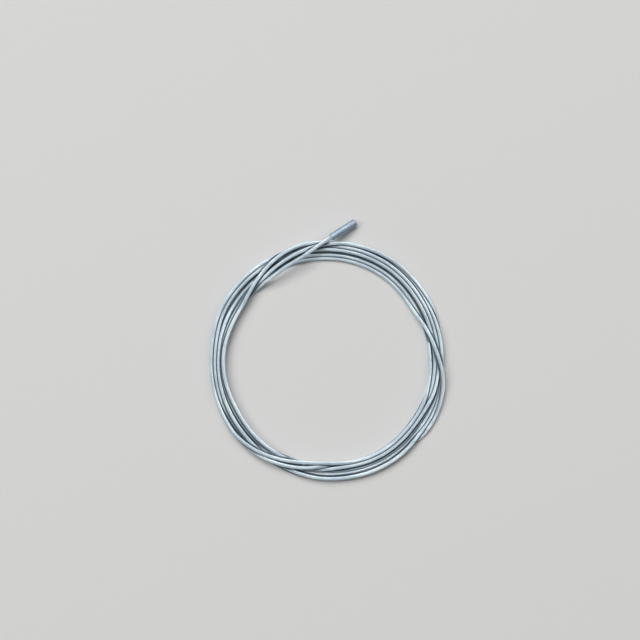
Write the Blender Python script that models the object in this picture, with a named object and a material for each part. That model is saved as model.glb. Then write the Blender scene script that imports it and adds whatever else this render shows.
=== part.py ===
"""Shift cable: a bicycle gear inner wire, wound into a coil that its own last turns hold together.

Metres, +Z up. The coil lies flat on the floor, z = 0, and the origin is the middle of the
footprint. Angles around the coil are in degrees from +X, counter-clockwise seen from above.
"""
import math

import bmesh
import bpy
from mathutils import Vector

# Driving dimensions
CABLE_DIAMETER = 0.0012
COIL_MEAN_RADIUS = 0.0374
TURN_PLAY = 0.0001
TURNS_ACROSS = 5
FITTING_DIAMETER = 0.00245
FITTING_LENGTH = 0.010
FITTING_CHAMFER = 0.00018
SOCKET_DEPTH = 0.0085
SOCKET_PLAY = 0.00002
MOUTH_ANGLE = 88.1
FITTING_HEADING = 33.5
FITTING_SLOPE = 13.0
CLEARANCE = 0.0003

# The free end crosses the coil from the fitting to its inner side. Each row is an angle,
# the place across the coil from its mean radius, and the height over where it just clears it.
TAIL_ROUTE = (
    (94.2, 0.0018, 0.00008),
    (97.2, 0.0006, 0.00012),
    (100.5, -0.0005, 0.00012),
    (104.0, -0.0014, 0.00008),
    (108.0, -0.0021, 0.00003),
    (112.5, -0.0026, -0.00015),
    (117.0, -0.0031, -0.00050),
    (121.0, -0.0034, -0.00090),
    (124.5, -0.00345, -0.00125),
)
STRAIGHT_OUT = (0.8, 1.7)

# Derived sizes
CABLE_RADIUS = CABLE_DIAMETER / 2
TURN_PITCH = CABLE_DIAMETER + TURN_PLAY
ROW_RISE = math.sqrt(CABLE_DIAMETER ** 2 - (TURN_PITCH / 2) ** 2)
COIL_TOP = CABLE_DIAMETER + 2 * ROW_RISE
COIL_OUTER_RADIUS = COIL_MEAN_RADIUS + TURN_PITCH * (TURNS_ACROSS - 1) / 2 + CABLE_RADIUS
TAIL_LEVEL = COIL_TOP + CLEARANCE + CABLE_RADIUS
FITTING_RADIUS = FITTING_DIAMETER / 2
MOUTH_RADIUS = COIL_OUTER_RADIUS + FITTING_RADIUS
SOCKET_RADIUS = CABLE_RADIUS + SOCKET_PLAY

# Colours of the two metals
GALVANISED = (0.60, 0.64, 0.66)
SATIN_ALLOY = (0.42, 0.48, 0.56)

# Fineness of the round shapes
COIL_STEPS = 72
FITTING_STEPS = 32
ARC_STEP = 34.0
TUBE_SPACING = 2.2 * CABLE_DIAMETER


def clear_scene():
    for old in list(bpy.data.objects):
        bpy.data.objects.remove(old, do_unlink=True)


def metal(name, colour, roughness, metallic):
    material = bpy.data.materials.new(name)
    material.use_nodes = True
    shader = material.node_tree.nodes["Principled BSDF"]
    shader.inputs["Base Color"].default_value = (*colour, 1.0)
    shader.inputs["Roughness"].default_value = roughness
    shader.inputs["Metallic"].default_value = metallic
    return material


def mesh_object(name, shape, material):
    """Turn a bmesh into a smooth-shaded object of its own."""
    bmesh.ops.remove_doubles(shape, verts=shape.verts, dist=1e-7)
    bmesh.ops.recalc_face_normals(shape, faces=shape.faces)
    mesh = bpy.data.meshes.new(name)
    shape.to_mesh(mesh)
    shape.free()
    mesh.shade_smooth()
    mesh.set_sharp_from_angle(angle=math.radians(38))
    mesh.materials.append(material)
    piece = bpy.data.objects.new(name, mesh)
    bpy.context.scene.collection.objects.link(piece)
    return piece


def turned(profile, steps):
    """Spin a profile of (radius, height) points once around Z."""
    shape = bmesh.new()
    points = [shape.verts.new((radius, 0.0, height)) for radius, height in profile]
    edges = [shape.edges.new(pair) for pair in zip(points, points[1:])]
    bmesh.ops.spin(shape, geom=points + edges, cent=(0, 0, 0), axis=(0, 0, 1),
                   angle=math.tau, steps=steps, use_merge=True)
    return shape


def arc(centre, start, end):
    """Points of one turn's round side, from one angle in degrees to another."""
    pieces = max(2, round(abs(end - start) / ARC_STEP))
    angles = [math.radians(start + (end - start) * step / pieces) for step in range(pieces + 1)]
    return [(centre[0] + CABLE_RADIUS * math.cos(angle),
             centre[1] + CABLE_RADIUS * math.sin(angle)) for angle in angles]


def row_of_turns(count, height):
    """Centres of one row of the bundle, from the outside in."""
    half = TURN_PITCH * (count - 1) / 2
    return [(COIL_MEAN_RADIUS + half - TURN_PITCH * index, height) for index in range(count)]


def bundle_outline():
    """Section of the coil: three nested rows of turns, flat underneath where it rests."""
    low = row_of_turns(TURNS_ACROSS - 1, CABLE_RADIUS)
    wide = row_of_turns(TURNS_ACROSS, CABLE_RADIUS + ROW_RISE)
    top = row_of_turns(TURNS_ACROSS - 1, CABLE_RADIUS + 2 * ROW_RISE)
    outline = arc(low[0], -90, 10) + arc(wide[0], -50, 50)
    outline += arc(top[0], -10, 150)
    for centre in top[1:-1]:
        outline += arc(centre, 30, 150)
    outline += arc(top[-1], 30, 190)
    outline += arc(wide[-1], 130, 230) + arc(low[-1], 170, 270)
    return outline + outline[:1]


def make_coil(material):
    return mesh_object("cable_coil", turned(bundle_outline(), COIL_STEPS), material)


def fitting_axis():
    """Way the fitting points, outwards and down to the floor."""
    heading = math.radians(FITTING_HEADING)
    slope = math.radians(FITTING_SLOPE)
    return Vector((math.cos(heading) * math.cos(slope),
                   math.sin(heading) * math.cos(slope), -math.sin(slope)))


def mouth_place():
    """Middle of the fitting's open end, so high that its far rim rests on the floor."""
    slope = math.radians(FITTING_SLOPE)
    angle = math.radians(MOUTH_ANGLE)
    height = FITTING_RADIUS * math.cos(slope) + (FITTING_LENGTH - FITTING_CHAMFER) * math.sin(slope)
    return Vector((MOUTH_RADIUS * math.cos(angle), MOUTH_RADIUS * math.sin(angle), height))


def make_fitting(material):
    """Plain cylinder with broken edges and the blind socket that the cable is pressed into."""
    inner = FITTING_RADIUS - FITTING_CHAMFER
    profile = [(0.0, SOCKET_DEPTH), (SOCKET_RADIUS, SOCKET_DEPTH), (SOCKET_RADIUS, 0.0),
               (inner, 0.0), (FITTING_RADIUS, FITTING_CHAMFER),
               (FITTING_RADIUS, FITTING_LENGTH - FITTING_CHAMFER),
               (inner, FITTING_LENGTH), (0.0, FITTING_LENGTH)]
    fitting = mesh_object("end_fitting", turned(profile, FITTING_STEPS), material)
    fitting.rotation_mode = "QUATERNION"
    fitting.rotation_quaternion = fitting_axis().to_track_quat("Z", "Y")
    fitting.location = mouth_place()
    return fitting


def tail_route():
    """The free end's own points, from face to face with the fitting to the coil's inner side."""
    points = [mouth_place() - fitting_axis() * CLEARANCE]
    points += [mouth_place() - fitting_axis() * CABLE_DIAMETER * reach for reach in STRAIGHT_OUT]
    for degrees, across, rise in TAIL_ROUTE:
        angle = math.radians(degrees)
        radius = COIL_MEAN_RADIUS + across
        points.append(Vector((radius * math.cos(angle), radius * math.sin(angle),
                              TAIL_LEVEL + rise)))
    return points


def smooth_point(points, index, share):
    """Point on the Catmull-Rom curve between two neighbouring route points."""
    last = len(points) - 1
    before, here = points[max(index - 1, 0)], points[index]
    there, after = points[index + 1], points[min(index + 2, last)]
    return 0.5 * ((2 * here) + (there - before) * share
                  + (2 * before - 5 * here + 4 * there - after) * share ** 2
                  + (3 * here - before - 3 * there + after) * share ** 3)


def smooth_curve(points, spacing):
    """Read a smooth curve through the route's points at an even spacing."""
    fine = [smooth_point(points, index, step / 20)
            for index in range(len(points) - 1) for step in range(20)] + [points[-1]]
    length = sum((b - a).length for a, b in zip(fine, fine[1:]))
    wanted = [length * step / round(length / spacing) for step in range(round(length / spacing))]
    read, walked = [], 0.0
    for here, there in zip(fine, fine[1:]):
        stretch = (there - here).length
        while wanted and wanted[0] < walked + stretch:
            read.append(here.lerp(there, (wanted.pop(0) - walked) / stretch))
        walked += stretch
    return read + [points[-1]]


def make_tail(material):
    """Uncoiled stretch of the cable, as a plain tube."""
    points = smooth_curve(tail_route(), TUBE_SPACING)
    curve = bpy.data.curves.new("cable_tail", "CURVE")
    curve.dimensions = "3D"
    curve.bevel_depth = CABLE_RADIUS
    curve.bevel_resolution = 2
    curve.use_fill_caps = True
    spline = curve.splines.new("POLY")
    spline.points.add(len(points) - 1)
    for slot, point in zip(spline.points, points):
        slot.co = (*point, 1.0)
    curve.materials.append(material)
    tail = bpy.data.objects.new("cable_tail", curve)
    bpy.context.scene.collection.objects.link(tail)
    return tail


def stand_on_middle(pieces):
    """Carry the pieces on an empty that puts the footprint's middle at the origin."""
    view = bpy.context.evaluated_depsgraph_get()
    points = [piece.matrix_world @ vertex.co for piece in pieces
              for vertex in piece.evaluated_get(view).to_mesh().vertices]
    middle = [(min(point[axis] for point in points) + max(point[axis] for point in points)) / 2
              for axis in range(2)]
    footprint = bpy.data.objects.new("footprint", None)
    bpy.context.scene.collection.objects.link(footprint)
    for piece in pieces:
        piece.parent = footprint
    footprint.location = (-middle[0], -middle[1], 0.0)


def build():
    clear_scene()
    coil = make_coil(metal("coil_steel", GALVANISED, 0.42, 0.9))
    tail = make_tail(metal("tail_steel", GALVANISED, 0.42, 0.9))
    fitting = make_fitting(metal("fitting_alloy", SATIN_ALLOY, 0.38, 0.9))
    stand_on_middle([coil, tail, fitting])


build()
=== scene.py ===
# %% [markdown]
# A shift cable, wound into a coil.
#
# The real object is the inner wire of a bicycle's gears: two metres of stranded steel, 1.2 mm
# thick, with a plain metal cylinder pressed on one end. It is sold and kept as a coil that its
# own last turns hold together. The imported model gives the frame: where the coil lies, and where
# the cylinder sits. Everything below is measured from there.

# %% Load the fixed frame
import math

import bmesh
import bpy
import numpy as np
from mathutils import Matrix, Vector
from mathutils.kdtree import KDTree


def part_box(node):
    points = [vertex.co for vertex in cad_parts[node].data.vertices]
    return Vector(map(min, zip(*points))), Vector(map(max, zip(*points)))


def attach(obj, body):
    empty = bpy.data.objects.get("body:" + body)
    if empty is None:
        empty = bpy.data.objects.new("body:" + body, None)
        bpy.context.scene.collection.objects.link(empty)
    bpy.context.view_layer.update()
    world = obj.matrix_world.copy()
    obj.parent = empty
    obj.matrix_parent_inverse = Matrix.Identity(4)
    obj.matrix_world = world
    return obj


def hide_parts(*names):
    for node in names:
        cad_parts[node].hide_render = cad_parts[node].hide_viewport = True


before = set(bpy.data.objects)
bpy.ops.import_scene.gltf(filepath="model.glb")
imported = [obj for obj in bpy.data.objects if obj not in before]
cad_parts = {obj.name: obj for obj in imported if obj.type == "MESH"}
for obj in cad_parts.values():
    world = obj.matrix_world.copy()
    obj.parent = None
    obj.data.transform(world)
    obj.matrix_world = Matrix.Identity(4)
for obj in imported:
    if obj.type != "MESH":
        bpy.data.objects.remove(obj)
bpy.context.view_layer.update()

coil_low, coil_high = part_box("cable_coil")
COIL_CENTRE = Vector(((coil_low.x + coil_high.x) / 2, (coil_low.y + coil_high.y) / 2, 0.0))
COIL_OUTER_RADIUS = (coil_high.x - coil_low.x) / 2
print("coil centre", tuple(COIL_CENTRE), "outer radius", COIL_OUTER_RADIUS)

# %% [markdown]
# The camera comes first, because a cord is checked against what it sees. The photograph shows
# the coil face-on, so the camera looks straight down on the lying coil. A round thing parallel
# to the sensor stays round under any lens, and only the height and the lens decide how much of
# the sides of the turns shows.

# %% Camera
PICTURE_WIDTH = 640
PIXEL_ON_COIL = 0.00034
COIL_IN_PICTURE = (327, 361)
CAMERA_HEIGHT = 0.50
SENSOR_WIDTH = 36.0


def make_camera():
    """Look straight down, with the coil where the photograph has it."""
    middle = PICTURE_WIDTH / 2
    data = bpy.data.cameras.new("camera")
    data.sensor_width = SENSOR_WIDTH
    data.lens = SENSOR_WIDTH * CAMERA_HEIGHT / (PICTURE_WIDTH * PIXEL_ON_COIL)
    camera = bpy.data.objects.new("camera", data)
    bpy.context.scene.collection.objects.link(camera)
    camera.location = (COIL_CENTRE.x + (middle - COIL_IN_PICTURE[0]) * PIXEL_ON_COIL,
                       COIL_CENTRE.y + (COIL_IN_PICTURE[1] - middle) * PIXEL_ON_COIL,
                       CAMERA_HEIGHT)
    bpy.context.scene.camera = camera
    return camera


camera = make_camera()
print("lens", round(camera.data.lens, 1), "mm")

# %% [markdown]
# The wire leaves the fitting, crosses over the coil and goes into it. The fitting's place and
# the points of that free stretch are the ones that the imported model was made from. Angles run
# counter-clockwise from +X in degrees, and heights are above the floor.

# %% The free stretch
CABLE_DIAMETER = 0.0012
CABLE_RADIUS = CABLE_DIAMETER / 2
MEAN_RADIUS = 0.0374
FITTING_RADIUS = 0.001225
FITTING_LENGTH = 0.010
FITTING_CHAMFER = 0.00018
MOUTH_ANGLE = 88.1
FITTING_HEADING = 33.5
FITTING_SLOPE = 13.0
CLEARANCE = 0.0003
TAIL_LEVEL = coil_high.z + CLEARANCE + CABLE_RADIUS
# Each row: angle, distance outside the mean turn, and height above TAIL_LEVEL.
TAIL_ROUTE = (
    (94.2, 0.0018, 0.00008),
    (97.2, 0.0006, 0.00012),
    (100.5, -0.0005, 0.00012),
    (104.0, -0.0014, 0.00008),
    (108.0, -0.0021, 0.00003),
    (112.5, -0.0026, -0.00015),
    (117.0, -0.0031, -0.00050),
    (121.0, -0.0034, -0.00090),
    (124.5, -0.00345, -0.00125),
)


def fitting_axis():
    """Way the fitting points, outwards and down to the floor."""
    heading, slope = math.radians(FITTING_HEADING), math.radians(FITTING_SLOPE)
    return Vector((math.cos(heading) * math.cos(slope),
                   math.sin(heading) * math.cos(slope), -math.sin(slope)))


def mouth_place():
    """Middle of the fitting's open end."""
    slope, angle = math.radians(FITTING_SLOPE), math.radians(MOUTH_ANGLE)
    radius = COIL_OUTER_RADIUS + FITTING_RADIUS
    height = FITTING_RADIUS * math.cos(slope) + (FITTING_LENGTH - FITTING_CHAMFER) * math.sin(slope)
    return COIL_CENTRE + Vector((radius * math.cos(angle), radius * math.sin(angle), height))


AXIS = fitting_axis()
MOUTH = mouth_place()
print("fitting's mouth", tuple(round(value, 5) for value in MOUTH))

# %% [markdown]
# A hand-wound coil isn't a stack of rings. Each turn drifts slowly outwards, and when it has
# become the outermost one it hops over the others to the inner side and starts again. Those
# hops are what the eye reads as crossings. So the whole coil is one line: the winding angle
# goes on from turn to turn, and a short list says where the hops are. Two more lists give the
# outermost and innermost lane every 30 degrees, because a loose coil is never quite round. The
# last one has the places where a turn strays from its lane, which leaves a gap or a bulge.

# %% Where the line runs across the coil
LANE_STEP = 30.0
OUTER_LANE = (0.03935, 0.04020, 0.04050, 0.04020, 0.04035, 0.04055,
              0.03905, 0.03975, 0.03965, 0.04045, 0.04045, 0.03990)
INNER_LANE = (0.03460, 0.03375, 0.03425, 0.03435, 0.03480, 0.03435,
              0.03500, 0.03420, 0.03465, 0.03475, 0.03555, 0.03510)
# Each hop: winding angles where it starts and ends, and the share of the way out it lands on.
HOPS = (
    (585, 636, 0.20),
    (1158, 1216, 0.08),
    (1772, 1838, 0.0),
    (2376, 2427, 0.0),
    (2979, 3028, 0.0),
)
WINDING_START, WINDING_END, WINDING_STEP = 96.0, 3138.0, 2.0
DRIFT_ANGLE = 540.0
JOIN_ANGLE = 20
# Places where a turn strays from its lane: winding angle, reach in degrees, and how far out.
STRAYS = (
    (304, 38, 0.0005), (664, 38, -0.0009), (1024, 38, -0.0003), (1384, 38, -0.0006),
    (1780, 21, 0.0014), (2104, 38, -0.0013), (2812, 54, 0.0014),
)
STRAY_FLATNESS = 4


def eased(share):
    """0 to 1 along a smooth step."""
    share = np.clip(share, 0.0, 1.0)
    return share * share * (3.0 - 2.0 * share)


def around(values, winding):
    """Smooth curve around the coil through values that are LANE_STEP degrees apart."""
    values = np.array(values)
    place = winding / LANE_STEP
    first = np.floor(place).astype(int)
    blend = (1 - np.cos((place - first) * math.pi)) / 2
    here, there = values[first % len(values)], values[(first + 1) % len(values)]
    return here * (1 - blend) + there * blend


def share_outwards(winding):
    """0 on the innermost lane, 1 on the outermost one."""
    arrived, landed = TAIL_ROUTE[-1][0], 0.0
    share = np.zeros_like(winding)
    for start, end, landing in HOPS:
        drift = landed + (1 - landed) * (winding - arrived) / (start - arrived)
        share = np.where((winding >= arrived) & (winding < start), drift, share)
        hop = 1 - (1 - landing) * eased((winding - start) / (end - start))
        share = np.where((winding >= start) & (winding < end), hop, share)
        arrived, landed = end, landing
    return np.where(winding >= arrived, landed + (winding - arrived) / DRIFT_ANGLE, share)


def wanted_radius(winding):
    """Radius of the line at each winding angle, before the turns push each other aside."""
    inner, outer = around(INNER_LANE, winding), around(OUTER_LANE, winding)
    radius = inner + (outer - inner) * share_outwards(winding)
    route = np.interp(winding, [row[0] for row in TAIL_ROUTE],
                      [MEAN_RADIUS + row[1] for row in TAIL_ROUTE])
    joined = eased((winding - TAIL_ROUTE[-1][0]) / JOIN_ANGLE)
    strayed = sum(out * np.exp(-((winding - place) / reach) ** STRAY_FLATNESS)
                  for place, reach, out in STRAYS)
    return route + joined * (radius - route) + strayed


winding = np.arange(WINDING_START, WINDING_END + WINDING_STEP / 2, WINDING_STEP)
radius_wanted = wanted_radius(winding)
print("turns", round((WINDING_END - MOUTH_ANGLE) / 360, 2), "points", len(winding))

# %% [markdown]
# Heights can't be drawn by hand: where two turns want the same place, one has to lie on the
# other. A small settling loop does what gravity does. All points start in the order in which
# the turns lie, with the hops on top, sink a little each round, are pushed apart where they are
# closer than a diameter, and are smoothed along the wire because steel is stiff. It is quick
# because points are only compared with those at the same angle of the coil. A turn that hops
# over the others is only ever lifted, never pushed aside, so that the hop keeps its long curve.

# %% Starting heights and order
LAYER_START = 0.00025
HOP_START, HOP_MARGIN = 0.003, 6
HOLD_END, HOLD_EASE = 106.0, 22.0
SETTLED_LEVEL, SETTLED_AFTER = 0.0016, 15
# A hop takes its rank over the degrees before its start, and gives it up before its end.
RANK_RISE, RANK_FALL, RANK_EARLY = 10, 12, 6
PER_TURN = int(360 / WINDING_STEP)
TURNS = math.ceil(len(winding) / PER_TURN)


def route_hold(winding):
    """1 where the free stretch keeps to its route, easing to 0 where it joins the coil."""
    return 1 - eased((winding - HOLD_END) / HOLD_EASE)


def route_height(winding):
    """Height of the free stretch, down to where it lies among the turns."""
    angles = [row[0] for row in TAIL_ROUTE] + [TAIL_ROUTE[-1][0] + SETTLED_AFTER]
    heights = [TAIL_LEVEL + row[2] for row in TAIL_ROUTE] + [SETTLED_LEVEL]
    return np.interp(winding, angles, heights)


def starting_height(winding):
    """Later turns higher than earlier ones, and the hops above them all."""
    height = CABLE_RADIUS + LAYER_START * (winding - WINDING_START) / 360
    for start, end, _ in HOPS:
        near = np.abs(winding - (start + end) / 2) < (end - start) / 2 + HOP_MARGIN
        height = np.where(near, height + HOP_START, height)
    return height + route_hold(winding) * (route_height(winding) - height)


def rank(winding):
    """Who lies on whom where the line crosses itself: 0 a plain turn, 1 a hop, 2 the route."""
    order = 2 * route_hold(winding)
    for start, end, _ in HOPS:
        rise = eased((winding - start) / RANK_RISE + 1)
        fall = eased((end - RANK_EARLY - winding) / RANK_FALL)
        order = np.maximum(order, rise * fall)
    return order


def by_station(values, filler):
    """Fold the long line into rows of one turn, so that a column is one angle of the coil."""
    spare = TURNS * PER_TURN - len(values)
    return np.concatenate([values, np.full(spare, filler)]).reshape(TURNS, PER_TURN)


print("rows", TURNS, "of", PER_TURN, "stations")

# %% [markdown]
# Two turns of a real wire touch and go no further. Here each pair at an angle of the coil is
# compared at once, as whole rows of numbers: a pair that is too close is moved apart, each by
# half of what is missing. A contact is counted a hair above the diameter, because a few
# hundredths of a millimetre are always left over at the end.

# %% Push the turns apart
CONTACT = CABLE_DIAMETER * 1.004
LARGEST_LIFT = 0.0005
CLEARLY_HIGHER = 0.3
NO_TURN = 1e3
TINY = 1e-9


def pair_push(sideways, upwards, lower_rank, upper_rank):
    """How far one point of a pair has to move away from the other, sideways and upwards."""
    distance = np.hypot(sideways, upwards) + TINY
    short = np.clip(CONTACT - distance, 0.0, None)
    crossing = np.clip(np.maximum(lower_rank, upper_rank), 0.0, 1.0)
    side = np.where(upwards < 0, -1.0, 1.0)
    side = np.where(upper_rank > lower_rank + CLEARLY_HIGHER, 1.0, side)
    side = np.where(lower_rank > upper_rank + CLEARLY_HIGHER, -1.0, side)
    needed = np.sqrt(np.clip(CONTACT ** 2 - sideways ** 2, 0.0, None))
    lift = np.where(needed > 0, np.clip(needed - side * upwards, 0.0, LARGEST_LIFT), 0.0) * side
    out = (1 - crossing) * short * sideways / distance
    up = (1 - crossing) * short * upwards / distance + crossing * lift
    return out / 2, up / 2, (short > 0) | (crossing * np.abs(lift) > 0)


def push_apart(radius, height, slope, order):
    """One round of pushing for every pair of turns at every station."""
    rows, levels = by_station(radius, NO_TURN), by_station(height, NO_TURN)
    leans, ranks = by_station(slope, 0.0), by_station(order, 0.0)
    out, up, hits = np.zeros_like(rows), np.zeros_like(rows), np.zeros_like(rows)
    for apart in range(1, TURNS):
        one, other = slice(0, TURNS - apart), slice(apart, TURNS)
        sideways = (rows[other] - rows[one]) * np.cos(np.arctan(leans[other] - leans[one]))
        part_out, part_up, hit = pair_push(sideways, levels[other] - levels[one],
                                           ranks[one], ranks[other])
        out[other] += part_out
        out[one] -= part_out
        up[other] += part_up
        up[one] -= part_up
        hits[other] += hit
        hits[one] += hit
    share = 1.0 / np.sqrt(np.maximum(hits, 1))
    count = len(radius)
    return (out * share).ravel()[:count], (up * share).ravel()[:count]


print("contact distance", CONTACT)

# %% [markdown]
# Each round sinks the whole wire a little, pulls it towards the lane that it should be in, smooths
# it, and pushes the turns apart again. The last quarter of the rounds is calmer, so that the turns
# come to rest. The fitting end keeps its route, because the fitting holds it there.

# %% Settle
SETTLE_ROUNDS = 700
CALM_AFTER, CALM = 0.75, 0.2
SINK = 0.00002
PULL = 0.10
STIFFNESS = 0.3
SMOOTHINGS, PUSHES = 2, 3
HELD_POINTS = 20


def smoothed(values, strength):
    """Each value moved towards the mean of its two neighbours."""
    result = values.copy()
    result[1:-1] += strength * (values[:-2] + values[2:] - 2 * values[1:-1])
    return result


def settle(winding, wanted):
    """Let the turns sink onto the floor and each other. The free stretch keeps its route."""
    hold, held_height, order = route_hold(winding), route_height(winding), rank(winding)
    radius, height = wanted.copy(), starting_height(winding)
    slope = np.gradient(wanted) / (wanted * math.radians(WINDING_STEP))
    for round_number in range(SETTLE_ROUNDS):
        pace = 1.0 if round_number < SETTLE_ROUNDS * CALM_AFTER else CALM
        height -= SINK * pace
        radius += PULL * pace * (wanted - radius)
        for _ in range(SMOOTHINGS):
            height = smoothed(height, STIFFNESS * pace)
            radius = wanted + smoothed(radius - wanted, STIFFNESS * pace)
        for _ in range(PUSHES):
            out, up = push_apart(radius, height, slope, order)
            radius, height = radius + out, np.maximum(height + up, CABLE_RADIUS)
            radius += hold * (wanted - radius)
            height += hold * (held_height - height)
    out, up = push_apart(radius, height, slope, order)
    print("settled: top", round(height[HELD_POINTS:].max() * 1000, 2), "mm, largest push left",
          round(float(np.hypot(out, up)[HELD_POINTS:].max()) * 1000, 3), "mm")
    return radius, height


radius_settled, height_settled = settle(winding, radius_wanted)

# %% [markdown]
# The line is now turned into points in space, with the straight bit out of the fitting in
# front. A strand is made of fine wires that twist around it, and their shape is only right if
# the centreline is smooth, so it is read again at an even, close spacing from a curve through
# its points.

# %% Centreline of the wire
LAY_LENGTH = 0.0100
SECTIONS_PER_LAY = 14
SPACING = LAY_LENGTH / SECTIONS_PER_LAY
INSIDE_FITTING = 0.002
# Points straight out of the mouth, in wire diameters from it.
STRAIGHT_OUT = (0.8, 1.7)
CURVE_PARTS = 8


def free_points():
    """From inside the fitting, straight out of its mouth, to where the winding starts."""
    reach = [-INSIDE_FITTING, 0.0] + [CABLE_DIAMETER * share for share in STRAIGHT_OUT]
    points = [MOUTH - AXIS * distance for distance in reach]
    degrees, across, rise = TAIL_ROUTE[0]
    angle, radius = math.radians(degrees), MEAN_RADIUS + across
    points.append(COIL_CENTRE + Vector((radius * math.cos(angle), radius * math.sin(angle),
                                        TAIL_LEVEL + rise)))
    return np.array(points)


def wound_points():
    """The settled winding as points in space."""
    angle = np.radians(winding)
    return np.column_stack([COIL_CENTRE.x + radius_settled * np.cos(angle),
                            COIL_CENTRE.y + radius_settled * np.sin(angle), height_settled])


def smooth_line(points):
    """Catmull-Rom curve through the points."""
    padded = np.vstack([2 * points[0] - points[1], points, 2 * points[-1] - points[-2]])
    before, here, there, after = padded[:-3], padded[1:-2], padded[2:-1], padded[3:]
    rows = []
    for part in range(CURVE_PARTS):
        t = part / CURVE_PARTS
        rows.append(0.5 * (2 * here + (there - before) * t
                           + (2 * before - 5 * here + 4 * there - after) * t ** 2
                           + (3 * here - before - 3 * there + after) * t ** 3))
    line = np.stack(rows, axis=1).reshape(-1, 3)
    return np.vstack([line, points[-1]])


def even_line(line, spacing):
    """The same line with its points an even distance apart."""
    walked = np.concatenate([[0.0], np.cumsum(np.linalg.norm(np.diff(line, axis=0), axis=1))])
    places = np.linspace(0.0, walked[-1], round(walked[-1] / spacing) + 1)
    return np.column_stack([np.interp(places, walked, line[:, axis]) for axis in range(3)])


centreline = even_line(smooth_line(np.vstack([free_points(), wound_points()])), SPACING)
measured_length = float(np.linalg.norm(np.diff(centreline, axis=0), axis=1).sum())
print("wire length", round(measured_length, 4), "m in", len(centreline), "points")

# %% [markdown]
# Gear wire is laid from nineteen fine steel wires: one in the middle, six around it and twelve
# outside, all twisted the same way. Only the outer twelve show. They are modelled one by one,
# as round wires on a helix, over a core that fills the middle. A bump map would look the same
# from far away, but it would leave the outline smooth and the groove between two turns empty.

# %% Core and outer wires
OUTER_WIRES = 12
WIRE_RADIUS = 0.000113
HELIX_RADIUS = CABLE_RADIUS - WIRE_RADIUS
CORE_RADIUS = 0.00042
CORE_RESOLUTION, WIRE_RESOLUTION = 2, 1
FUSED_LENGTH, FUSED_WIDTH = 0.0012, 0.72


def line_frame(line):
    """Two directions across the line at each of its points, neither of which twists around it."""
    along = np.gradient(line, axis=0)
    along /= np.linalg.norm(along, axis=1)[:, None]
    side = np.cross(along, [0.0, 0.0, 1.0])
    side /= np.linalg.norm(side, axis=1)[:, None]
    return side, np.cross(along, side)


def tube(name, line, thickness, resolution, widths):
    """A round tube along a line, as a curve with closed ends."""
    curve = bpy.data.curves.new(name, "CURVE")
    curve.dimensions = "3D"
    curve.bevel_depth = thickness
    curve.bevel_resolution = resolution
    curve.use_fill_caps = True
    spline = curve.splines.new("POLY")
    spline.points.add(len(line) - 1)
    spline.points.foreach_set("co", np.column_stack([line, np.ones(len(line))]).ravel())
    spline.points.foreach_set("radius", widths)
    spline.use_smooth = True
    piece = bpy.data.objects.new(name, curve)
    bpy.context.scene.collection.objects.link(piece)
    return piece


def fused_taper(line):
    """Widths along the wire: full, and drawn in where the cut end is fused."""
    left = (len(line) - 1 - np.arange(len(line))) * SPACING
    return FUSED_WIDTH + (1 - FUSED_WIDTH) * eased(left / FUSED_LENGTH)


def make_wires():
    """The core on the centreline, and the outer wires on helices around it."""
    side, across = line_frame(centreline)
    taper = fused_taper(centreline)
    core = tube("cable_core", centreline, CORE_RADIUS, CORE_RESOLUTION, taper)
    places = np.arange(len(centreline)) * SPACING
    wires = []
    for number in range(OUTER_WIRES):
        turn = 2 * math.pi * (places / LAY_LENGTH + number / OUTER_WIRES)
        offset = side * np.cos(turn)[:, None] + across * np.sin(turn)[:, None]
        line = centreline + offset * (HELIX_RADIUS * taper)[:, None]
        wires.append(tube(f"outer_wire_{number + 1:02d}", line, WIRE_RADIUS,
                          WIRE_RESOLUTION, taper))
    return core, wires


cable_core, outer_wires = make_wires()
print("outer wires", len(outer_wires), "lay", LAY_LENGTH * 1000, "mm")

# %% [markdown]
# The grooves between two turns are darkened, and so are the turns that lie low between higher
# ones. This is painted shade where the turns hide each other from the light, with a little dust
# and old grease in the grooves as well. That depends on how close the next turn is and how far it
# rises, which a texture can't know. So both are measured here, and kept on the mesh as an
# attribute that the metal reads later. The free stretch gets a little grime all over, since
# fingers hold the wire there.

# %% Painted shade and grime between the turns
# Reach of the painted shade and grime out of a groove, and how much a higher turn adds to the
# painted shade on a lower one.
GRIME_AND_SHADE_REACH = 0.00051
SHADE_BELOW_HIGHER = 1.0
OTHER_TURN = 0.020
SEARCH_REACH = 2 * CABLE_DIAMETER
HANDLED = 0.15
HANDLED_LENGTH = 0.035


def other_turns():
    """For each point of the centreline, the points of other turns that lie close to it."""
    tree = KDTree(len(centreline))
    for number, point in enumerate(centreline):
        tree.insert(point, number)
    tree.balance()
    return [[other for _, other, _ in tree.find_range(point, SEARCH_REACH)
             if abs(other - number) * SPACING > OTHER_TURN]
            for number, point in enumerate(centreline)]


def grime_and_shade_at(corners, middle, near, along):
    """1 where a corner touches another turn, falling to 0 at GRIME_AND_SHADE_REACH from it: painted
    shade in the groove, with a little grime.

    On the upper side of the wire, a turn that lies higher counts as closer by SHADE_BELOW_HIGHER
    times the height. This paints shade on a turn that lies low between higher ones.
    """
    if not near:
        return np.zeros(len(corners))
    gap = corners[:, None, :] - centreline[near][None, :, :]
    walked = np.minimum(np.abs((gap * along[near]).sum(axis=2)), SPACING / 2)
    distance = np.sqrt(np.maximum((gap ** 2).sum(axis=2) - walked ** 2, 0.0))
    upper_side = np.clip((corners[:, 2] - middle[2]) / CABLE_RADIUS, 0.0, 1.0)
    distance += SHADE_BELOW_HIGHER * upper_side[:, None] * np.minimum(gap[:, :, 2], 0.0)
    return 1.0 - eased((distance.min(axis=1) - CABLE_RADIUS) / GRIME_AND_SHADE_REACH)


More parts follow.
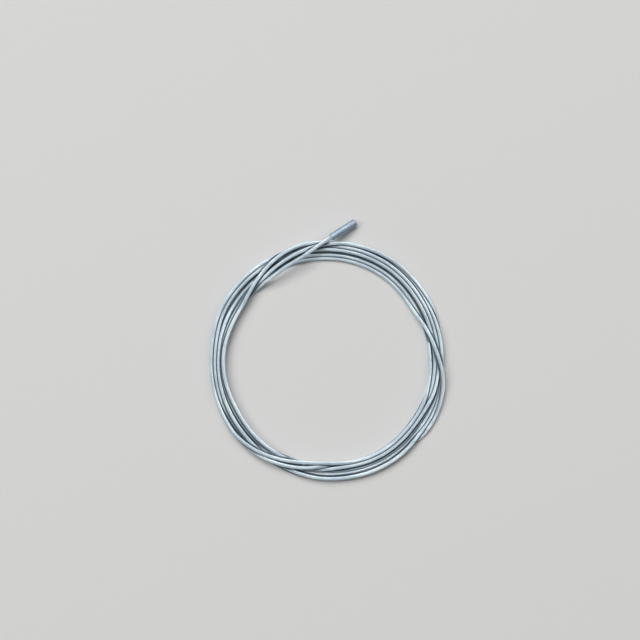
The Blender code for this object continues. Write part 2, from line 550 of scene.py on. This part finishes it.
def as_mesh(piece):
    """The same piece as a mesh, which can hold an attribute."""
    mesh = bpy.data.meshes.new_from_object(piece)
    name, curve = piece.name, piece.data
    bpy.data.objects.remove(piece)
    bpy.data.curves.remove(curve)
    solid = bpy.data.objects.new(name, mesh)
    bpy.context.scene.collection.objects.link(solid)
    return solid


def rings_of(solid):
    """The tube's corners, ring by ring along the line. Those of its two end caps come last."""
    flat = np.empty(len(solid.data.vertices) * 3)
    solid.data.vertices.foreach_get("co", flat)
    sides = len(solid.data.vertices) // len(centreline)
    return flat.reshape(-1, 3)[:len(centreline) * sides].reshape(len(centreline), sides, 3)


def add_grime_and_shade(wires):
    """Turn the wires into meshes and keep the painted shade and grime of each corner on them."""
    near, along = other_turns(), np.gradient(centreline, axis=0)
    along /= np.linalg.norm(along, axis=1)[:, None]
    meshes = [as_mesh(wire) for wire in wires]
    corners = [rings_of(solid) for solid in meshes]
    grime_and_shade = np.array([grime_and_shade_at(ring, middle, others, along) for ring, middle, others
                      in zip(np.concatenate(corners, axis=1), centreline, near)])
    handled = HANDLED * (1 - eased(np.arange(len(centreline)) * SPACING / HANDLED_LENGTH))
    grime_and_shade = np.maximum(grime_and_shade, handled[:, None])
    for solid, part in zip(meshes, np.split(grime_and_shade, len(meshes), axis=1)):
        values = np.zeros(len(solid.data.vertices))
        values[:part.size] = part.ravel()
        solid.data.attributes.new("grime_and_shade", "FLOAT", "POINT")
        solid.data.attributes["grime_and_shade"].data.foreach_set("value", values)
    return meshes, grime_and_shade


outer_wires, grime_and_shade = add_grime_and_shade(outer_wires)
# Share of the corners that are darkened by painted shade and grime.
print("corners with grime", round(float((grime_and_shade > 0.5).mean()) * 100), "%")

# %% [markdown]
# The fitting is a turned cylinder. Its edges are broken with a small radius, and the hole that
# the wire is pressed into has a slight countersink. A profile spun around the axis is how it is
# made on a lathe, and how it is made here.

# %% Fitting
FITTING_STEPS = 96
EDGE_STEPS = 6
HOLE_PLAY = 0.00002
HOLE_RADIUS = CABLE_RADIUS + HOLE_PLAY
HOLE_DEPTH = INSIDE_FITTING * 1.5
COUNTERSINK = 0.00012
FACE_DISH = 0.00005
# The far end's face is dished: most of the dish is reached at this share of its radius.
DISH_RADIUS, DISH_SHARE = 0.8, 0.6
MERGE_DISTANCE = 1e-7
SHARP_ANGLE = math.radians(40)


def rounded(centre_radius, centre_height, start, end):
    """Quarter round of a broken edge, as (radius, height) points."""
    angles = [math.radians(start + (end - start) * step / EDGE_STEPS)
              for step in range(EDGE_STEPS + 1)]
    return [(centre_radius + FITTING_CHAMFER * math.cos(angle),
             centre_height + FITTING_CHAMFER * math.sin(angle)) for angle in angles]


def fitting_profile():
    """Half a section of the fitting, as (radius, height) points from bore to far end."""
    inner = FITTING_RADIUS - FITTING_CHAMFER
    profile = [(0.0, HOLE_DEPTH), (HOLE_RADIUS, HOLE_DEPTH)]
    profile += [(HOLE_RADIUS, COUNTERSINK), (HOLE_RADIUS + COUNTERSINK, 0.0)]
    profile += rounded(inner, FITTING_CHAMFER, -90, 0)
    profile += rounded(inner, FITTING_LENGTH - FITTING_CHAMFER, 0, 90)
    profile += [(inner * DISH_RADIUS, FITTING_LENGTH - FACE_DISH * DISH_SHARE),
                (0.0, FITTING_LENGTH - FACE_DISH)]
    return profile


def make_fitting():
    """Spin the profile, and put the fitting at the mouth's place along its axis."""
    shape = bmesh.new()
    points = [shape.verts.new((radius, 0.0, height)) for radius, height in fitting_profile()]
    edges = [shape.edges.new(pair) for pair in zip(points, points[1:])]
    bmesh.ops.spin(shape, geom=points + edges, cent=(0, 0, 0), axis=(0, 0, 1),
                   angle=math.tau, steps=FITTING_STEPS, use_merge=True)
    bmesh.ops.remove_doubles(shape, verts=shape.verts, dist=MERGE_DISTANCE)
    bmesh.ops.recalc_face_normals(shape, faces=shape.faces)
    mesh = bpy.data.meshes.new("fitting_body")
    shape.to_mesh(mesh)
    shape.free()
    mesh.shade_smooth()
    mesh.set_sharp_from_angle(angle=SHARP_ANGLE)
    fitting = bpy.data.objects.new("fitting_body", mesh)
    bpy.context.scene.collection.objects.link(fitting)
    fitting.rotation_mode = "QUATERNION"
    fitting.rotation_quaternion = AXIS.to_track_quat("Z", "Y")
    fitting.location = MOUTH
    return fitting


fitting_body = make_fitting()
print("fitting faces", len(fitting_body.data.polygons))

# %% [markdown]
# Both metals share two effects, so each is a node group that is built once. The first is a
# patina: large soft patches where zinc or oxide has dulled, broken up by fine grain. The second
# is a set of fine scratches that run along one direction, made by stretching a noise.

# %% Helpers for node groups
def new_group(name, inputs, outputs):
    """A shader group with named sockets, and its input and output nodes."""
    group = bpy.data.node_groups.new(name, "ShaderNodeTree")
    for label, kind in inputs:
        group.interface.new_socket(label, in_out="INPUT", socket_type=kind)
    for label, kind in outputs:
        group.interface.new_socket(label, in_out="OUTPUT", socket_type=kind)
    return group, group.nodes.new("NodeGroupInput"), group.nodes.new("NodeGroupOutput")


def noise(group, coordinates, scale, detail):
    """Noise texture whose coordinates and scale come from sockets."""
    node = group.nodes.new("ShaderNodeTexNoise")
    node.inputs["Detail"].default_value = detail
    group.links.new(coordinates, node.inputs["Vector"])
    group.links.new(scale, node.inputs["Scale"])
    return node.outputs["Fac"]


def math_node(group, operation, first, second):
    """One sum or product, of numbers or sockets."""
    node = group.nodes.new("ShaderNodeMath")
    node.operation = operation
    for socket, value in zip(node.inputs, (first, second)):
        if isinstance(value, (int, float)):
            socket.default_value = value
        else:
            group.links.new(value, socket)
    return node.outputs[0]


def contrast(group, value, low, high):
    """Stretch the part of a value between low and high to the full range."""
    node = group.nodes.new("ShaderNodeMapRange")
    node.inputs["From Min"].default_value = low
    node.inputs["From Max"].default_value = high
    group.links.new(value, node.inputs["Value"])
    return node.outputs["Result"]


def mixed(group, share, first, second):
    """First colour where the share is 0, second where it is 1."""
    node = group.nodes.new("ShaderNodeMix")
    node.data_type = "RGBA"
    group.links.new(share, node.inputs["Factor"])
    group.links.new(first, node.inputs["A"])
    group.links.new(second, node.inputs["B"])
    return node.outputs["Result"]


print("node helpers ready")

# %% [markdown]
# Zinc doesn't dull evenly. The patches are stretched in contrast, so that they have an edge, and
# multiplied with the grain, so that the edge is ragged. Dull metal is rougher, so one mask drives
# both the colour and the roughness. The scratches only give a height: at this size they are seen
# as a soft sheen and not as lines.

# %% Patina and scratch groups
PATCH_DETAIL, PATCH_CONTRAST = 4.0, (0.36, 0.66)
GRAIN_DETAIL, GRAIN_CONTRAST, GRAIN_FLOOR = 2.0, (0.3, 0.7), 0.4
SCRATCH_DETAIL = 3.0


def make_patina():
    """Clean metal that turns dull in soft patches, with a roughness to match."""
    group, given, result = new_group(
        "patina",
        [("Coordinates", "NodeSocketVector"), ("Clean", "NodeSocketColor"),
         ("Dull", "NodeSocketColor"), ("Patch Scale", "NodeSocketFloat"),
         ("Grain Scale", "NodeSocketFloat"), ("Roughness", "NodeSocketFloat"),
         ("Spread", "NodeSocketFloat")],
        [("Color", "NodeSocketColor"), ("Roughness", "NodeSocketFloat")])
    where = given.outputs["Coordinates"]
    patches = noise(group, where, given.outputs["Patch Scale"], PATCH_DETAIL)
    patches = contrast(group, patches, *PATCH_CONTRAST)
    grain = noise(group, where, given.outputs["Grain Scale"], GRAIN_DETAIL)
    grain = contrast(group, grain, *GRAIN_CONTRAST)
    broken = math_node(group, "MULTIPLY", patches, math_node(group, "ADD", grain, GRAIN_FLOOR))
    mask = math_node(group, "MINIMUM", broken, 1.0)
    colour = mixed(group, mask, given.outputs["Clean"], given.outputs["Dull"])
    rise = math_node(group, "MULTIPLY", mask, given.outputs["Spread"])
    roughness = math_node(group, "ADD", rise, given.outputs["Roughness"])
    group.links.new(colour, result.inputs["Color"])
    group.links.new(roughness, result.inputs["Roughness"])
    return group


def make_scratches():
    """Fine lines along one axis, as a height."""
    group, given, result = new_group(
        "fine_scratches",
        [("Coordinates", "NodeSocketVector"), ("Stretch", "NodeSocketVector"),
         ("Scale", "NodeSocketFloat")],
        [("Height", "NodeSocketFloat")])
    scaled = group.nodes.new("ShaderNodeVectorMath")
    scaled.operation = "MULTIPLY"
    group.links.new(given.outputs["Coordinates"], scaled.inputs[0])
    group.links.new(given.outputs["Stretch"], scaled.inputs[1])
    lines = noise(group, scaled.outputs[0], given.outputs["Scale"], SCRATCH_DETAIL)
    group.links.new(lines, result.inputs["Height"])
    return group


PATINA = make_patina()
SCRATCHES = make_scratches()
print("groups", PATINA.name, SCRATCHES.name)

# %% [markdown]
# The wires are galvanised steel: a pale, slightly green-blue zinc skin that is matt where it has
# dulled and bright where it has rubbed. Where the mesh carries grime and painted shade, the colour
# is mixed with a dark blue-grey. In the grooves and on low turns this is painted shade, with a
# little old grease. On the free stretch it is old grease. The core is painted nearly black, so
# that it shows as a line of painted shade in the grooves between the outer wires. The fitting is
# a satin alloy, bluer and darker, with fine lathe lines around it.

# %% Metals
ZINC_CLEAN = (0.84, 0.94, 0.99, 1.0)
ZINC_DULL = (0.60, 0.71, 0.79, 1.0)
# Dark blue-grey of the painted shade in the grooves and on low turns, and of old grease, and how
# much of the zinc it covers.
GRIME_AND_SHADE_COLOUR = (0.028, 0.052, 0.080, 1.0)
GRIME_AND_SHADE_COVER = 0.88
# The core's colour is painted shade: nearly black, so that the grooves between the outer wires show
# dark.
CORE_SHADE_CLEAN = (0.055, 0.062, 0.066, 1.0)
CORE_SHADE_DULL = (0.035, 0.042, 0.047, 1.0)
ALLOY_CLEAN = (0.38, 0.47, 0.57, 1.0)
ALLOY_DULL = (0.26, 0.33, 0.41, 1.0)
GRAIN_SCALE = 2600.0
SCRATCH_STRENGTH, SCRATCH_DEPTH = 0.35, 0.00002
WIRE_SCRATCHES = {"stretch": (1.0, 1.0, 1.0), "scratch_scale": 5200.0}
LATHE_LINES = {"stretch": (0.25, 0.25, 6.0), "scratch_scale": 2400.0}


def placed_group(material, group, values):
    """Put a group into a material and set the sockets that have a value of their own."""
    node = material.node_tree.nodes.new("ShaderNodeGroup")
    node.node_tree = group
    for label, value in values.items():
        node.inputs[label].default_value = value
    return node


def object_coordinates(material):
    """Where a point is on the piece itself, so the finish moves with it."""
    return material.node_tree.nodes.new("ShaderNodeTexCoord").outputs["Object"]


def bump(material, height, strength, distance):
    """A normal that follows a height."""
    node = material.node_tree.nodes.new("ShaderNodeBump")
    node.inputs["Strength"].default_value = strength
    node.inputs["Distance"].default_value = distance
    material.node_tree.links.new(height, node.inputs["Height"])
    return node.outputs["Normal"]


def dirty_and_shaded(material, colour):
    """The colour, darkened where the mesh has grime and painted shade."""
    nodes, links = material.node_tree.nodes, material.node_tree.links
    amount = nodes.new("ShaderNodeAttribute")
    amount.attribute_name = "grime_and_shade"
    mix = nodes.new("ShaderNodeMix")
    mix.data_type = "RGBA"
    mix.inputs["B"].default_value = GRIME_AND_SHADE_COLOUR
    links.new(math_node(material.node_tree, "MULTIPLY", amount.outputs["Fac"], GRIME_AND_SHADE_COVER),
              mix.inputs["Factor"])
    links.new(colour, mix.inputs["A"])
    return mix.outputs["Result"]


def metal(name, clean, dull, metallic, roughness, spread, patch_scale, stretch, scratch_scale,
          has_grime_and_shade=False):
    """A metal with patina, fine scratches and, where it is asked for, grime and painted shade."""
    material = bpy.data.materials.new(name)
    material.use_nodes = True
    links = material.node_tree.links
    shader = material.node_tree.nodes["Principled BSDF"]
    shader.inputs["Metallic"].default_value = metallic
    where = object_coordinates(material)
    patina = placed_group(material, PATINA, {
        "Clean": clean, "Dull": dull, "Patch Scale": patch_scale, "Grain Scale": GRAIN_SCALE,
        "Roughness": roughness, "Spread": spread})
    scratches = placed_group(material, SCRATCHES, {"Stretch": stretch, "Scale": scratch_scale})
    links.new(where, patina.inputs["Coordinates"])
    links.new(where, scratches.inputs["Coordinates"])
    colour = patina.outputs["Color"]
    links.new(dirty_and_shaded(material, colour) if has_grime_and_shade else colour, shader.inputs["Base Color"])
    links.new(patina.outputs["Roughness"], shader.inputs["Roughness"])
    links.new(bump(material, scratches.outputs["Height"], SCRATCH_STRENGTH, SCRATCH_DEPTH),
              shader.inputs["Normal"])
    return material


# The zinc is darkened where the mesh carries painted shade and grime.
galvanised = metal("galvanised_steel", ZINC_CLEAN, ZINC_DULL, metallic=0.7, roughness=0.42,
                   spread=0.16, patch_scale=90.0, **WIRE_SCRATCHES, has_grime_and_shade=True)
# The core's near-black metal is painted shade for the grooves between the outer wires.
core_steel_painted_shade = metal("core_steel_painted_shade", CORE_SHADE_CLEAN, CORE_SHADE_DULL, metallic=0.8, roughness=0.5,
                   spread=0.1, patch_scale=90.0, **WIRE_SCRATCHES)
satin_alloy = metal("satin_alloy", ALLOY_CLEAN, ALLOY_DULL, metallic=0.65, roughness=0.44,
                    spread=0.14, patch_scale=260.0, **LATHE_LINES)

for wire in outer_wires:
    wire.data.materials.append(galvanised)
cable_core.data.materials.append(core_steel_painted_shade)
fitting_body.data.materials.append(satin_alloy)
print("metals", galvanised.name, core_steel_painted_shade.name, satin_alloy.name)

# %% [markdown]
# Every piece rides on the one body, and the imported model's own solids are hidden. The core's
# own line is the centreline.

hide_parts("cable_coil", "cable_tail")
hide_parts("end_fitting")
for piece in [cable_core, *outer_wires]:
    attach(piece, "root")
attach(fitting_body, "root")

# %% [markdown]
# The floor is plain and pale. The light is that of an open sky: a wide soft panel from the top
# of the picture and a little to the left, a weaker one from each side and a dim surround. The
# side panels matter because a round wire shines along a line, and the turns at the left and
# right lie along the main light. The left one is the stronger, so the fitting and the free
# stretch are bright on their upper left side and dark on the other.
# The panels are large and far away, so that the floor is lit evenly up to its edge. The surround
# is pale at the horizon, where it is only seen, and dim above, where it would fill the shadows.

# %% Floor and light
FLOOR_COLOUR, FLOOR_ROUGHNESS = (0.62, 0.62, 0.61, 1.0), 0.8
FLOOR_SIZE = 2.6
# The floor's top is a hair below 0, the level that the turns rest on.
FLOOR_DROP = 0.00002
SKY_COLOUR = (0.95, 0.98, 1.0, 1.0)
HORIZON_STRENGTH, OVERHEAD_STRENGTH = 0.58, 0.09
HORIZON_RISE = 0.14
# Each panel: name, place, width and power.
PANELS = (
    ("sky_panel", (-0.9, 2.45, 3.6), 3.0, 164.0),
    ("left_panel", (-2.9, 0.8, 3.0), 2.0, 62.0),
    ("right_panel", (2.9, 0.8, 3.0), 2.0, 31.0),
)


def make_floor():
    """One plain square under the coil."""
    mesh = bpy.data.meshes.new("floor")
    half = FLOOR_SIZE / 2
    corners = [(-half, -half, 0.0), (half, -half, 0.0), (half, half, 0.0), (-half, half, 0.0)]
    mesh.from_pydata(corners, [], [(0, 1, 2, 3)])
    material = bpy.data.materials.new("floor")
    material.use_nodes = True
    shader = material.node_tree.nodes["Principled BSDF"]
    shader.inputs["Base Color"].default_value = FLOOR_COLOUR
    shader.inputs["Roughness"].default_value = FLOOR_ROUGHNESS
    mesh.materials.append(material)
    floor = bpy.data.objects.new("floor", mesh)
    bpy.context.scene.collection.objects.link(floor)
    floor.location.z = -FLOOR_DROP


def panel(name, place, size, power):
    """A square soft light that faces the coil."""
    data = bpy.data.lights.new(name, "AREA")
    data.size = size
    data.energy = power
    light = bpy.data.objects.new(name, data)
    bpy.context.scene.collection.objects.link(light)
    light.location = place
    light.rotation_mode = "QUATERNION"
    light.rotation_quaternion = (COIL_CENTRE - Vector(place)).to_track_quat("-Z", "Y")


def make_world():
    """A surround that is pale at the horizon and dim above HORIZON_RISE."""
    world = bpy.data.worlds.new("surround")
    world.use_nodes = True
    nodes, links = world.node_tree.nodes, world.node_tree.links
    nodes["Background"].inputs["Color"].default_value = SKY_COLOUR
    direction = nodes.new("ShaderNodeTexCoord").outputs["Generated"]
    split = nodes.new("ShaderNodeSeparateXYZ")
    fade = nodes.new("ShaderNodeMapRange")
    fade.interpolation_type = "SMOOTHSTEP"
    fade.inputs["From Max"].default_value = HORIZON_RISE
    fade.inputs["To Min"].default_value = HORIZON_STRENGTH
    fade.inputs["To Max"].default_value = OVERHEAD_STRENGTH
    links.new(direction, split.inputs["Vector"])
    links.new(split.outputs["Z"], fade.inputs["Value"])
    links.new(fade.outputs["Result"], nodes["Background"].inputs["Strength"])
    bpy.context.scene.world = world


make_floor()
for name, place, size, power in PANELS:
    panel(name, place, size, power)
make_world()
bpy.context.scene.view_settings.view_transform = "Standard"
print("floor", FLOOR_SIZE, "m wide, lit by", len(PANELS), "panels")
